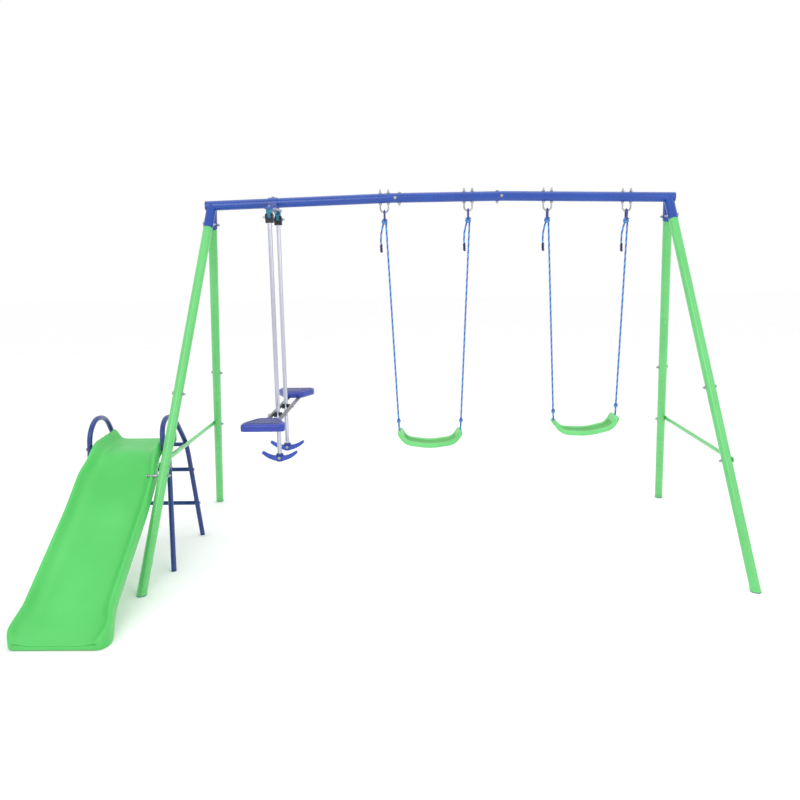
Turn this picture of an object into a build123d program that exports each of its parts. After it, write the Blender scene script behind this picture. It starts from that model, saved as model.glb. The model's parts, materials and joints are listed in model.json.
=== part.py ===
"""A children's swing set: two rope swings, a two-seat glider and a slide on one tubular A-frame.

Millimetres. X runs along the top beam, Y from the slide's foot towards the back, Z is up.
The pieces are placed about the frame's own middle, on the ground under the beam, and are
moved together at the end so that the origin is the bottom centre of the whole set.
"""

from build123d import *
from math import cos, radians, tan
import os

BASE = (Align.CENTER, Align.CENTER, Align.MIN)
HANG = (Align.CENTER, Align.CENTER, Align.MAX)
GAP = 0.3            # running clearance between two pieces that don't touch
FIT = 0.2            # radial clearance of a tube or bolt in its hole
OVERCUT = 1          # how far a cut runs past the face it opens
THROUGH = 30         # half the length of a drill that passes through a small tube

# ---- frame -------------------------------------------------------------------------------
beam_height = 1777   # axis of the middle beam tube
beam_radius = 24
beam_wall = 1.5
beam_reach = 1163    # half the beam's length
beam_joint_left = -229
beam_joint_right = 325
beam_droop = 1.4     # degrees that each outer beam tube falls away from the middle one
neck_length = 80     # swaged end inside the next tube
neck_root = 10       # where the neck starts inside the outer tube's end
joint_bolt_level = 14    # past the joint, in the middle tube
joint_bolt_upright = 34
beam_cap_height = 3
beam_plug_length = 12

apex_x = 1135        # where the leg axes meet the beam axis
foot_x = 1371
foot_y = 713
leg_radius = 22.5
leg_wall = 1.5
stub_wall = 1.5
stub_length = 118    # along the leg, from the beam axis
stub_bore_start = 70
stub_bolt_at = 97
leg_bolt_height = 863
leg_neck_length = 70
foot_cap_height = 3
plug_length = 22
foot_cap_sleeve = 8  # how far each cap's blank runs up the slanting tube before it is cut level

brace_height = 543
brace_radius = 10
brace_tab = 5        # thickness of the flattened ends
brace_tab_width = 24
brace_tab_reach = 14 # past the bolt
brace_tube_start = 27

bolt_radius = 4
bolt_head_radius = 7.5
bolt_head_height = 4.5
bolt_tip = 7         # thread past the nut

# ---- swings ------------------------------------------------------------------------------
ubolt_radius = 4
ubolt_half = 20      # half the distance between the legs of a U-bolt
ubolt_drop = 69      # beam axis down to the wire's centre at the bottom of the U
ubolt_rise = 42      # beam axis up to the tips of the legs
nut_lift = 0.5       # the nuts' clearance from the drooping beam
nut_radius = 7.5
nut_height = 6.5
link_radius = 4.5
link_width = 31      # centre to centre of the wire
link_length = 52
rope_radius = 5
rope_offset = 7      # rope and tail each side of the link's middle
rope_lead = 19       # knot centre above the bottom of the link
knot_radius = 15
knot_height = 32
tail_steps = [(0, 0), (-9, -32), (-14, -66), (-13, -98)]   # sideways and down
whip_radius = 8
whip_length = 45
seat_knot_radius = 11
seat_knot_height = 22
seat_knot_rise = 50  # above the seat's tips

seat_half = 160      # middle of the seat's upturned tips
seat_rise = 73
seat_depth = 140
seat_thickness = 26
seat_edge = 12
seat_hole_depth = 14
seat_shoulder = (34, 18)     # a tip's bend: in from the tip and up from the seat's bottom
seat_radii = [70, 300, 70]
# name, hanger positions left and right, middle of the seat, heights of the seat's tips
swings = [
    ("left", -270, 147, -54, 594, 594),
    ("right", 540, 931, 748, 638, 664),
]

# ---- glider ------------------------------------------------------------------------------
glider_x = -826
glider_spacing = 240  # between the two hanging tubes, at the top and at the seat bars
crossbar_width = 40
crossbar_thickness = 12
crossbar_overhang = 20
crossbar_corner = 8
crown_bolt_length = 18
yoke_thread = 10      # depth of the screw that holds a yoke
saddle_width = 44
saddle_thickness = 3
saddle_flange = 22
pivot_drop = 74       # beam axis to the pivots
yoke_width = 28
yoke_depth = 24
tongue_width = 16
cap_radius = 17
cap_width = 38
cap_depth = 30
cap_skirt = 28        # pivot to the bottom of the cap
cap_corner = 5
cap_slot_drop = 12    # pivot to the floor of the slot that takes the yoke's tongue
tube_radius = 11
tube_wall = 1.5
tube_top_drop = 14    # pivot to the top of the hanging tube
tube_bottom = 466
bar_height = 708
bar_radius = 10
bar_half_gap = 30
bar_reach = 490
spacer_radius = 13
glider_seat_y = 455
glider_seat_half = 85
glider_seat_outer = 102
glider_seat_inner = 50
glider_seat_height = 36
glider_seat_edge = 10
glider_seat_shoulder = 55
glider_seat_corner = 20
screw_y = 425
screw_shank = 3
screw_depth = 32
screw_head_radius = 5
screw_head_height = 2
foot_boss_radius = 19
foot_boss_height = 40
foot_rest_height = 486
foot_rest_half = 90
foot_rest_rise = 30
foot_rest_depth = 34
foot_rest_thickness = 18
foot_rest_dip = 4     # middle of the wing below the bolt
foot_rest_edge = 8

# ---- slide and its ladder ----------------------------------------------------------------
slide_x = -1531
bed_half = 185
platform_half = 166
waist = (-370, -480)  # where the bed widens from the platform's width to the run's
bed_wall = 30
bed_thickness = 20
wall_drop = 26
bed_route = [(-80, 584), (-335, 574), (-625, 362), (-1150, 46), (-1215, 26)]
bed_radii = [110, 700, 200]
wall_rises = [54, 66, 64, 54, 34]   # the walls' tops above each point of the route
foot_block = 130      # length of the slide's standing foot
lip_length = 14
flare = 20
flare_y = -1148       # middle of the rounded ears at the slide's end
flare_length = 160
flare_height = 70

rail_radius = 12.5
rail_wall = 1.5
rail_gap = 2          # from the slide's wall
rail_splay = 40       # extra half-width at the ground
splay_height = 600
rail_route = [(-335, 505), (-341, 728), (-140, 716), (18, 530), (88, foot_cap_height)]
rail_radii = [100, 180, 250]
ladder_leg_foot_y = -430
ladder_leg_top = (-280, 545)
rung_radius = 11
rung_bolt_radius = 3
rung_bolt_length = 60
rung_heights = (190, 385)
platform_bar_height = 530
platform_bar_radius = 11
bend_room = 0.9       # more room for a platform bar where the rail bends
slide_bolt_height = 500
rail_bolt_height = 588
rail_bolt_depth = 9   # of its tip in the slide's wall


# ---- shared shapes and places ------------------------------------------------------------
def bar(start, end, radius, mode=Mode.ADD):
    """Adds a straight round bar between two points to the part being built."""
    run = Vector(*end) - Vector(*start)
    with Locations(Plane(origin=start, z_dir=run)):
        Cylinder(radius, run.length, align=BASE, mode=mode)


def tube(start, end, radius, wall, mode=Mode.ADD):
    """Adds a straight open tube."""
    bar(start, end, radius, mode)
    run = (Vector(*end) - Vector(*start)).normalized()
    bar(tuple(Vector(*start) - run), tuple(Vector(*end) + run), radius - wall, Mode.SUBTRACT)


def bolt(head_seat, nut_seat, radius=bolt_radius, nut=True):
    """Adds a round-headed bolt whose head and nut bear on two seats."""
    run = (Vector(*nut_seat) - Vector(*head_seat)).normalized()
    stop = Vector(*nut_seat) + run * (nut_height + bolt_tip if nut else 0)
    bar(head_seat, tuple(stop), radius)
    with Locations(Plane(origin=head_seat, z_dir=-run)):
        Cylinder(bolt_head_radius, bolt_head_height, align=BASE)
    if nut:
        with BuildSketch(Plane(origin=nut_seat, z_dir=run)) as outline:
            RegularPolygon(nut_radius, 6)
        extrude(outline.sketch, amount=nut_height)


def beam_axis(x):
    """Height of the beam's axis: level in the middle tube, drooping in the outer two."""
    past = max(beam_joint_left - x, x - beam_joint_right, 0)
    return beam_height - past * tan(radians(beam_droop))


def leg_run(side, face):
    """Start and unit direction of a leg's axis; side is -1 left, face is -1 front."""
    start = Vector(side * apex_x, 0, beam_axis(side * apex_x))
    foot = Vector(side * foot_x, face * foot_y, 0)
    return start, (foot - start).normalized()


def leg_at_height(side, face, height):
    start, run = leg_run(side, face)
    return start + run * ((height - start.Z) / run.Z)


def outward(side, face):
    """Unit direction square to the leg, pointing away from the middle of the set."""
    run = leg_run(side, face)[1]
    return (Vector(side, 0, 0) - run * (side * run.X)).normalized()


def bolt_seats(side, face, centre, reach):
    """Where a bolt square to the leg enters and leaves, outside first."""
    away = outward(side, face) * reach
    return tuple(centre + away), tuple(centre - away)


stub_radius = leg_radius + FIT + stub_wall
leg_bore = leg_radius - leg_wall
corners = [(side, face) for side in (-1, 1) for face in (-1, 1)]
corner_names = {(-1, -1): "front_left", (-1, 1): "back_left", (1, -1): "front_right", (1, 1): "back_right"}
hanger_xs = [x for swing in swings for x in swing[1:3]]
pivot_height = beam_axis(glider_x) - pivot_drop
parts = []


def keep(builder, name):
    """Labels a finished piece and queues it for writing."""
    builder.part.label = name
    parts.append(builder.part)


# ---- top beam ----------------------------------------------------------------------------
def drill_hangers():
    """Vertical holes for the U-bolts' legs."""
    for x in hanger_xs:
        for leg_x in (x - ubolt_half, x + ubolt_half):
            low, high = beam_height - 4 * beam_radius, beam_height + 2 * beam_radius
            bar((leg_x, 0, low), (leg_x, 0, high), ubolt_radius + FIT, Mode.SUBTRACT)


def joint_bolt_places(side):
    """The level bolt and the upright bolt that pin a swaged end in the middle tube."""
    joint = beam_joint_left if side < 0 else beam_joint_right
    level, upright = joint - side * joint_bolt_level, joint - side * joint_bolt_upright
    return [
        ((level, -beam_radius, beam_height), (level, beam_radius, beam_height)),
        ((upright, 0, beam_height + beam_radius), (upright, 0, beam_height - beam_radius)),
    ]


def outer_beam(side):
    """An outer beam tube with its swaged end and the two sockets that take the legs."""
    joint = beam_joint_left if side < 0 else beam_joint_right
    end = Vector(side * beam_reach, 0, beam_axis(side * beam_reach))
    run = (end - Vector(joint, 0, beam_height)).normalized()
    inner = Vector(joint, 0, beam_height) - run * neck_root
    neck_radius = beam_radius - beam_wall - FIT
    with BuildPart() as beam:
        bar(tuple(inner), tuple(end), beam_radius)
        with Locations((joint - side * 2 * beam_radius, 0, beam_height)):
            Box(4 * beam_radius, 4 * beam_radius, 4 * beam_radius, mode=Mode.SUBTRACT)
        bar((joint - side * neck_length, 0, beam_height), (joint + side, 0, beam_height), neck_radius)
        for face in (-1, 1):
            start, leg = leg_run(side, face)
            bar(tuple(start), tuple(start + leg * stub_length), stub_radius)
        bar(tuple(inner + run * 2 * neck_root), tuple(end + run), beam_radius - beam_wall, Mode.SUBTRACT)
        neck_start, neck_end = joint - side * (neck_length + OVERCUT), joint + side * 3 * neck_root
        bore = (neck_start, 0, beam_height), (neck_end, 0, beam_height)
        bar(*bore, neck_radius - beam_wall, Mode.SUBTRACT)
        for face in (-1, 1):
            start, leg = leg_run(side, face)
            socket = tuple(start + leg * stub_bore_start), tuple(start + leg * (stub_length + 1))
            bar(*socket, leg_radius + FIT, Mode.SUBTRACT)
            seats = bolt_seats(side, face, start + leg * stub_bolt_at, 2 * stub_radius)
            bar(*seats, bolt_radius + FIT, Mode.SUBTRACT)
        for seats in joint_bolt_places(side):
            bar(*seats, bolt_radius + FIT, Mode.SUBTRACT)
        drill_hangers()
        if side < 0:
            axis = beam_axis(glider_x)
            hole = (glider_x, 0, axis), (glider_x, 0, axis + beam_radius + OVERCUT)
            bar(*hole, bolt_radius + FIT, Mode.SUBTRACT)
    return beam


keep(outer_beam(-1), "beam_left")
keep(outer_beam(1), "beam_right")

with BuildPart() as beam_middle:
    ends = (beam_joint_left, 0, beam_height), (beam_joint_right, 0, beam_height)
    tube(*ends, beam_radius, beam_wall)
    drill_hangers()
    for side in (-1, 1):
        for seats in joint_bolt_places(side):
            bar(*seats, bolt_radius + FIT, Mode.SUBTRACT)
keep(beam_middle, "beam_middle")

with BuildPart() as beam_bolts:
    for side in (-1, 1):
        for seats in joint_bolt_places(side):
            bolt(*seats)
keep(beam_bolts, "beam_bolts")


# ---- legs, braces and their bolts --------------------------------------------------------
def leg_bolt_centre(side, face):
    return leg_at_height(side, face, leg_bolt_height)


for side, face in corners:
    start, run = leg_run(side, face)
    seam = leg_bolt_centre(side, face) + run * (leg_neck_length / 2)
    foot = leg_at_height(side, face, foot_cap_height)
    with BuildPart() as leg_upper:
        tube(tuple(start + run * (stub_bore_start + GAP)), tuple(seam), leg_radius, leg_wall)
        for centre in (start + run * stub_bolt_at, leg_bolt_centre(side, face)):
            seats = bolt_seats(side, face, centre, 2 * leg_radius)
            bar(*seats, bolt_radius + FIT, Mode.SUBTRACT)
    keep(leg_upper, f"leg_upper_{corner_names[side, face]}")

    with BuildPart() as leg_lower:
        bar(tuple(seam), tuple(foot + run * 2 * leg_radius), leg_radius)
        bar(tuple(seam - run * leg_neck_length), tuple(seam + run), leg_bore - FIT)
        bar(tuple(seam + run * neck_root), tuple(foot + run * 3 * leg_radius), leg_bore, Mode.SUBTRACT)
        neck_bore = tuple(seam - run * (leg_neck_length + OVERCUT)), tuple(seam + run * 2 * neck_root)
        bar(*neck_bore, leg_bore - FIT - leg_wall, Mode.SUBTRACT)
        with Locations((foot.X, foot.Y, foot_cap_height - 4 * leg_radius)):
            Box(8 * leg_radius, 8 * leg_radius, 8 * leg_radius, mode=Mode.SUBTRACT)
        for centre in (leg_bolt_centre(side, face), leg_at_height(side, face, brace_height)):
            seats = bolt_seats(side, face, centre, 2 * leg_radius)
            bar(*seats, bolt_radius + FIT, Mode.SUBTRACT)
        if (side, face) == (-1, -1):
            centre = leg_at_height(side, face, slide_bolt_height)
            reach = Vector(2 * leg_radius, 0, 0)
            bar(tuple(centre - reach), tuple(centre + reach), bolt_radius + FIT, Mode.SUBTRACT)
    keep(leg_lower, f"leg_lower_{corner_names[side, face]}")

with BuildPart() as leg_bolts:
    for side, face in corners:
        start, run = leg_run(side, face)
        bolt(*bolt_seats(side, face, start + run * stub_bolt_at, stub_radius))
        bolt(*bolt_seats(side, face, leg_bolt_centre(side, face), leg_radius))
        head, nut = bolt_seats(side, face, leg_at_height(side, face, brace_height), leg_radius)
        bolt(tuple(Vector(*head) + outward(side, face) * brace_tab), nut)
keep(leg_bolts, "leg_bolts")

for side, name in ((-1, "brace_left"), (1, "brace_right")):
    middle = leg_radius + brace_tab / 2
    with BuildPart() as brace:
        ends = []
        for face in (-1, 1):
            seat = leg_at_height(side, face, brace_height) + outward(side, face) * middle
            flat = Plane(origin=seat, x_dir=(0, face, 0), z_dir=outward(side, face))
            ends.append(tuple(flat.from_local_coords((-brace_tube_start, 0, 0))))
            tab_length = brace_tab_reach + brace_tube_start + brace_tab_width / 3
            with BuildSketch(flat) as tab:
                with Locations((brace_tab_reach - tab_length / 2, 0)):
                    RectangleRounded(tab_length, brace_tab_width, brace_tab_width / 3)
            extrude(tab.sketch, amount=brace_tab / 2, both=True)
        bar(*ends, brace_radius)
        for face in (-1, 1):
            seat = leg_at_height(side, face, brace_height)
            bar(*bolt_seats(side, face, seat, 2 * leg_radius), bolt_radius + FIT, Mode.SUBTRACT)
    keep(brace, name)


# ---- swing hangers -----------------------------------------------------------------------
def ubolt_bottom(x):
    return beam_axis(x) - ubolt_drop


with BuildPart() as swing_ubolts:
    for x in hanger_xs:
        bend = ubolt_bottom(x) + ubolt_half
        top = beam_axis(x) + ubolt_rise
        with BuildLine() as wire:
            Line((x - ubolt_half, 0, top), (x - ubolt_half, 0, bend))
            ThreePointArc((x - ubolt_half, 0, bend), (x, 0, bend - ubolt_half), (x + ubolt_half, 0, bend))
            Line((x + ubolt_half, 0, bend), (x + ubolt_half, 0, top))
        with BuildSketch(Plane(origin=(x - ubolt_half, 0, top), z_dir=(0, 0, -1))) as section:
            Circle(ubolt_radius)
        sweep(section.sketch, path=wire.wires()[0])
keep(swing_ubolts, "swing_ubolts")

with BuildPart() as ubolt_nuts:
    for x in hanger_xs:
        for leg_x in (x - ubolt_half, x + ubolt_half):
            for away in (1, -1):
                base = beam_axis(leg_x) + away * (beam_radius + nut_lift)
                with BuildSketch(Plane(origin=(leg_x, 0, base), z_dir=(0, 0, away))) as outline:
                    RegularPolygon(nut_radius, 6)
                    Circle(ubolt_radius + FIT / 2, mode=Mode.SUBTRACT)
                extrude(outline.sketch, amount=nut_height)
keep(ubolt_nuts, "ubolt_nuts")


# ---- rope swings -------------------------------------------------------------------------
def link_loop(x, radius, mode=Mode.ADD):
    """A closed oval link that hangs on the U-bolt at x, edge-on to the front."""
    top = ubolt_bottom(x) + ubolt_radius + GAP + link_radius
    bend = link_width / 2
    low = top - link_length
    with BuildLine() as loop:
        Line((x, -bend, top - bend), (x, -bend, low + bend))
        ThreePointArc((x, -bend, low + bend), (x, 0, low), (x, bend, low + bend))
        Line((x, bend, low + bend), (x, bend, top - bend))
        ThreePointArc((x, bend, top - bend), (x, 0, top), (x, -bend, top - bend))
    with BuildSketch(Plane(origin=(x, -bend, top - bend), z_dir=(0, 0, -1))) as section:
        Circle(radius)
    sweep(section.sketch, path=loop.wires()[0], mode=mode)


def knot_centre(x):
    top = ubolt_bottom(x) + ubolt_radius + GAP + link_radius
    return Vector(x, 0, top - link_length + rope_lead - knot_height / 2)


def seat_tips(swing):
    """The middles of the seat's two upturned tips."""
    _, _, _, middle, left_tip, right_tip = swing
    tilt = (right_tip - left_tip) / 2
    half = seat_half * cos(tilt / seat_half)
    return Vector(middle - half, 0, left_tip), Vector(middle + half, 0, right_tip)


def rope_ends_at(x, tip):
    """A main rope's two ends: under its knot and inside the seat's tip."""
    top = knot_centre(x) + Vector(rope_offset, 0, -knot_height / 2)
    run = (tip - top).normalized()
    return top, tip + run * (seat_hole_depth - GAP)


def smooth_radii(points, least):
    """The largest even corner radii that a route's runs allow."""
    radii = []
    for before, corner, after in zip(points, points[1:], points[2:]):
        arriving, leaving = Vector(*corner) - Vector(*before), Vector(*after) - Vector(*corner)
        turn = radians(arriving.get_angle(leaving))
        radii.append(0.45 * min(arriving.length, leaving.length) / tan(turn / 2))
    print("corner radii", [round(r) for r in radii], "least allowed", least)
    return radii


for swing in swings:
    name, left_x, right_x = swing[:3]
    tips = seat_tips(swing)
    hangers = list(zip(("left", "right"), (left_x, right_x), tips))

    with BuildPart() as links:
        for _, x, _ in hangers:
            link_loop(x, link_radius)
    keep(links, f"swing_{name}_links")

    with BuildPart() as knots:
        for _, x, tip in hangers:
            with Locations(knot_centre(x)):
                Cylinder(knot_radius, knot_height)
            link_loop(x, link_radius + FIT, Mode.SUBTRACT)
            top, bottom = rope_ends_at(x, tip)
            run = (bottom - top).normalized()
            knot = tip - run * seat_knot_rise
            with Locations(Plane(origin=knot, z_dir=run)):
                Cylinder(seat_knot_radius, seat_knot_height)
                Cylinder(rope_radius + FIT, seat_knot_height + 2, mode=Mode.SUBTRACT)
    keep(knots, f"swing_{name}_knots")

    for hand, x, tip in hangers:
        top, bottom = rope_ends_at(x, tip)
        with BuildPart() as rope:
            bar(tuple(top), tuple(bottom), rope_radius)
            with Locations(top):
                Box(4 * rope_radius, 4 * rope_radius, 2 * rope_radius, align=BASE, mode=Mode.SUBTRACT)
        keep(rope, f"swing_{name}_rope_{hand}")
        print(f"swing_{name}_rope_{hand}", "from", tuple(top), "to", tuple(bottom))

        tail_top = knot_centre(x) + Vector(-rope_offset, 0, -knot_height / 2)
        route = [tuple(tail_top + Vector(dx, 0, dz)) for dx, dz in tail_steps]
        with BuildPart() as tail:
            with BuildLine() as line:
                FilletPolyline(*route, radius=smooth_radii(route, 6 * rope_radius))
            first_run = Vector(*route[1]) - Vector(*route[0])
            with BuildSketch(Plane(origin=route[0], z_dir=first_run)) as section:
                Circle(rope_radius)
            sweep(section.sketch, path=line.wires()[0])
            with Locations(tail_top):
                Box(4 * rope_radius, 4 * rope_radius, 2 * rope_radius, align=BASE, mode=Mode.SUBTRACT)
        keep(tail, f"swing_{name}_tail_{hand}")

    with BuildPart() as rope_whips:
        for _, x, _ in hangers:
            tail_top = knot_centre(x) + Vector(-rope_offset, 0, -knot_height / 2)
            last, end = [tail_top + Vector(dx, 0, dz) for dx, dz in tail_steps[-2:]]
            run = (end - last).normalized()
            bar(tuple(end), tuple(end + run * whip_length), whip_radius)
    keep(rope_whips, f"swing_{name}_whippings")

    slope = (tips[1] - tips[0]).normalized()
    seat_plane = Plane(origin=(tips[0] + tips[1]) / 2, x_dir=slope, z_dir=(0, -1, 0))
    half = (tips[1] - tips[0]).length / 2
    shoulder_x, shoulder_z = half - seat_shoulder[0], seat_shoulder[1] - seat_rise
    with BuildPart() as seat:
        with BuildLine(seat_plane) as curve:
            FilletPolyline(
                (-half, 0), (-shoulder_x, shoulder_z), (0, -seat_rise), (shoulder_x, shoulder_z), (half, 0),
                radius=seat_radii,
            )
        with BuildSketch(Plane(origin=curve.line @ 0, x_dir=(0, 1, 0), z_dir=curve.line % 0)) as section:
            RectangleRounded(seat_depth, seat_thickness, seat_edge)
        sweep(section.sketch, path=curve.wires()[0])
        for _, x, tip in hangers:
            top, bottom = rope_ends_at(x, tip)
            run = (bottom - top).normalized()
            hole = tuple(tip - run * seat_thickness), tuple(tip + run * seat_hole_depth)
            bar(*hole, rope_radius + FIT, Mode.SUBTRACT)
    keep(seat, f"swing_{name}_seat")
    print(f"hinge swing_{name}", (0, 0, ubolt_bottom(left_x)), (0, 0, ubolt_bottom(right_x)))


# ---- glider ------------------------------------------------------------------------------
glider_axis = beam_axis(glider_x)
droop_room = FIT + saddle_width / 2 * tan(radians(beam_droop))   # the beam slopes through the saddle
crossbar_top = glider_axis - beam_radius - droop_room
crossbar_bottom = crossbar_top - crossbar_thickness
hang_y = glider_spacing / 2
clamp_y = beam_radius + saddle_thickness + saddle_flange / 2 + 1
crossbar_reach = hang_y + crossbar_overhang


def drill_across(y, height, x=glider_x):
    """A bolt hole along X right through a hanging tube or what it passes."""
    bar((x - THROUGH, y, height), (x + THROUGH, y, height), bolt_radius + FIT, Mode.SUBTRACT)


with BuildPart() as glider_crossbar:
    with BuildSketch(Plane.XY.offset(crossbar_bottom)) as outline:
        with Locations((glider_x, 0)):
            RectangleRounded(crossbar_width, 2 * crossbar_reach, crossbar_corner)
    extrude(outline.sketch, amount=crossbar_thickness)
    for y in (-clamp_y, clamp_y, -hang_y, hang_y):
        hole = (glider_x, y, crossbar_bottom - OVERCUT), (glider_x, y, crossbar_top + OVERCUT)
        bar(*hole, bolt_radius + FIT, Mode.SUBTRACT)
keep(glider_crossbar, "glider_crossbar")

with BuildPart() as glider_saddle:
    inner = beam_radius + droop_room
    outer = inner + saddle_thickness
    saddle_end = Plane(origin=(glider_x - saddle_width / 2, 0, glider_axis), x_dir=(0, 1, 0), z_dir=(1, 0, 0))
    with BuildSketch(saddle_end) as outline:
        Circle(outer)
        low = crossbar_top - glider_axis
        with Locations((0, low / 2)):
            Rectangle(2 * outer, -low)
        with Locations((0, low + saddle_thickness / 2)):
            Rectangle(2 * (outer + saddle_flange), saddle_thickness)
        Circle(inner, mode=Mode.SUBTRACT)
        with Locations((0, low / 2)):
            Rectangle(2 * inner, -low, mode=Mode.SUBTRACT)
        with Locations((0, low - outer)):
            Rectangle(4 * outer, 2 * outer, mode=Mode.SUBTRACT)
    extrude(outline.sketch, amount=saddle_width)
    for y in (-clamp_y, clamp_y):
        hole = (glider_x, y, crossbar_top - OVERCUT), (glider_x, y, crossbar_top + 2 * saddle_thickness)
        bar(*hole, bolt_radius + FIT, Mode.SUBTRACT)
    bar((glider_x, 0, glider_axis), (glider_x, 0, glider_axis + 2 * outer), bolt_radius + FIT, Mode.SUBTRACT)
keep(glider_saddle, "glider_saddle")

with BuildPart() as glider_clamp_bolts:
    for y in (-clamp_y, clamp_y):
        bolt((glider_x, y, crossbar_top + saddle_thickness), (glider_x, y, crossbar_bottom))
    crown = glider_axis + beam_radius + droop_room + saddle_thickness
    bolt((glider_x, 0, crown), (glider_x, 0, crown - crown_bolt_length), nut=False)
    for y in (-hang_y, hang_y):
        bolt((glider_x, y, crossbar_top), (glider_x, y, crossbar_bottom - yoke_thread), nut=False)
keep(glider_clamp_bolts, "glider_clamp_bolts")

with BuildPart() as glider_yokes:
    for y in (-hang_y, hang_y):
        body_bottom = pivot_height + cap_radius + 2 * GAP
        with Locations((glider_x, y, body_bottom)):
            Box(yoke_width, yoke_depth, crossbar_bottom - body_bottom, align=BASE)
        with Locations((glider_x, y, pivot_height)):
            Box(tongue_width, yoke_depth, body_bottom - pivot_height + OVERCUT, align=BASE)
        tongue = [(glider_x + way * tongue_width / 2, y, pivot_height) for way in (-1, 1)]
        bar(*tongue, yoke_depth / 2)
        thread = (glider_x, y, crossbar_bottom - yoke_thread - GAP), (glider_x, y, crossbar_bottom + OVERCUT)
        bar(*thread, bolt_radius + FIT, Mode.SUBTRACT)
        drill_across(y, pivot_height)
keep(glider_yokes, "glider_yokes")

with BuildPart() as glider_pivot_bolts:
    for y, turn in ((-hang_y, -1), (hang_y, 1)):
        reach = turn * (cap_width / 2 + GAP)
        bolt((glider_x - reach, y, pivot_height), (glider_x + reach, y, pivot_height))
keep(glider_pivot_bolts, "glider_pivot_bolts")

for face, name in ((-1, "front"), (1, "rear")):
    y = face * hang_y
    tube_top = pivot_height - tube_top_drop
    with BuildPart() as cap:
        barrel = (glider_x - cap_width / 2, y, pivot_height), (glider_x + cap_width / 2, y, pivot_height)
        bar(*barrel, cap_radius)
        with Locations((glider_x, y, pivot_height - cap_skirt)):
            Box(cap_width, cap_depth, cap_skirt, align=BASE)
        edges = cap.edges().filter_by(Axis.Z).sort_by(Axis.Z)[:4]
        fillet(edges, cap_corner)
        with Locations((glider_x, y, pivot_height - cap_slot_drop - GAP)):
            Box(tongue_width + 2 * GAP, 2 * cap_depth, 2 * cap_depth, align=BASE, mode=Mode.SUBTRACT)
        socket = (glider_x, y, pivot_height - cap_skirt - OVERCUT), (glider_x, y, tube_top + GAP)
        bar(*socket, tube_radius + FIT, Mode.SUBTRACT)
        drill_across(y, pivot_height)
    keep(cap, f"glider_cap_{name}")

    footrest_hole = (glider_x, y - THROUGH, foot_rest_height), (glider_x, y + THROUGH, foot_rest_height)
    with BuildPart() as hanging_tube:
        tube((glider_x, y, tube_bottom), (glider_x, y, tube_top), tube_radius, tube_wall)
        drill_across(y, bar_height)
        bar(*footrest_hole, bolt_radius + FIT, Mode.SUBTRACT)
    keep(hanging_tube, f"glider_tube_{name}")

    with BuildPart() as footrest:
        with BuildLine() as wing:
            ThreePointArc(
                (glider_x - foot_rest_half, y, foot_rest_height + foot_rest_rise),
                (glider_x, y, foot_rest_height - foot_rest_dip),
                (glider_x + foot_rest_half, y, foot_rest_height + foot_rest_rise),
            )
        with BuildSketch(Plane(origin=wing.line @ 0, x_dir=(0, 1, 0), z_dir=wing.line % 0)) as section:
            RectangleRounded(foot_rest_depth, foot_rest_thickness, foot_rest_edge)
        sweep(section.sketch, path=wing.wires()[0])
        with Locations((glider_x, y, foot_rest_height - foot_boss_height / 2)):
            Cylinder(foot_boss_radius, foot_boss_height, align=BASE)
        socket = (glider_x, y, tube_bottom - GAP), (glider_x, y, foot_rest_height + foot_boss_height)
        bar(*socket, tube_radius + FIT, Mode.SUBTRACT)
        bar(*footrest_hole, bolt_radius + FIT, Mode.SUBTRACT)
    keep(footrest, f"glider_footrest_{name}")

    with BuildPart() as footrest_bolt:
        seats = [(glider_x, y + way * foot_boss_radius, foot_rest_height) for way in (-1, 1)]
        bolt(*seats)
    keep(footrest_bolt, f"glider_footrest_bolt_{name}")

    with BuildPart() as glider_seat:
        outer_y, inner_y = [face * (glider_seat_y + way * glider_seat_half) for way in (1, -1)]
        shoulder_y = outer_y - face * glider_seat_shoulder
        with BuildSketch(Plane.XY.offset(bar_height)) as outline:
            with BuildLine():
                Polyline(
                    (glider_x - glider_seat_outer, outer_y), (glider_x + glider_seat_outer, outer_y),
                    (glider_x + glider_seat_outer, shoulder_y), (glider_x + glider_seat_inner, inner_y),
                    (glider_x - glider_seat_inner, inner_y), (glider_x - glider_seat_outer, shoulder_y),
                    close=True,
                )
            make_face()
            fillet(outline.vertices(), glider_seat_corner)
        extrude(outline.sketch, amount=glider_seat_height)
        fillet(glider_seat.faces().sort_by(Axis.Z)[-1].edges(), glider_seat_edge)
        for bar_x in (glider_x - bar_half_gap, glider_x + bar_half_gap):
            groove = (bar_x, inner_y - face, bar_height), (bar_x, face * bar_reach + face * GAP, bar_height)
            bar(*groove, bar_radius + FIT, Mode.SUBTRACT)
            screw_top = bar_height + glider_seat_height + OVERCUT
            screw_hole = (bar_x, face * screw_y, bar_height), (bar_x, face * screw_y, screw_top)
            bar(*screw_hole, screw_shank + FIT, Mode.SUBTRACT)
    keep(glider_seat, f"glider_seat_{name}")

with BuildPart() as glider_bars:
    for bar_x in (glider_x - bar_half_gap, glider_x + bar_half_gap):
        tube((bar_x, -bar_reach, bar_height), (bar_x, bar_reach, bar_height), bar_radius, tube_wall)
        for y in (-hang_y, hang_y):
            drill_across(y, bar_height, bar_x)
        for y in (-screw_y, screw_y):
            screw_hole = (bar_x, y, bar_height), (bar_x, y, bar_height + 2 * bar_radius)
            bar(*screw_hole, screw_shank + FIT, Mode.SUBTRACT)
keep(glider_bars, "glider_bars")

with BuildPart() as glider_spacers:
    for y in (-hang_y, hang_y):
        for way in (-1, 1):
            near = glider_x + way * (tube_radius + GAP)
            far = glider_x + way * (bar_half_gap - bar_radius)
            bar((near, y, bar_height), (far, y, bar_height), spacer_radius)
        drill_across(y, bar_height)
keep(glider_spacers, "glider_spacers")

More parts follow.
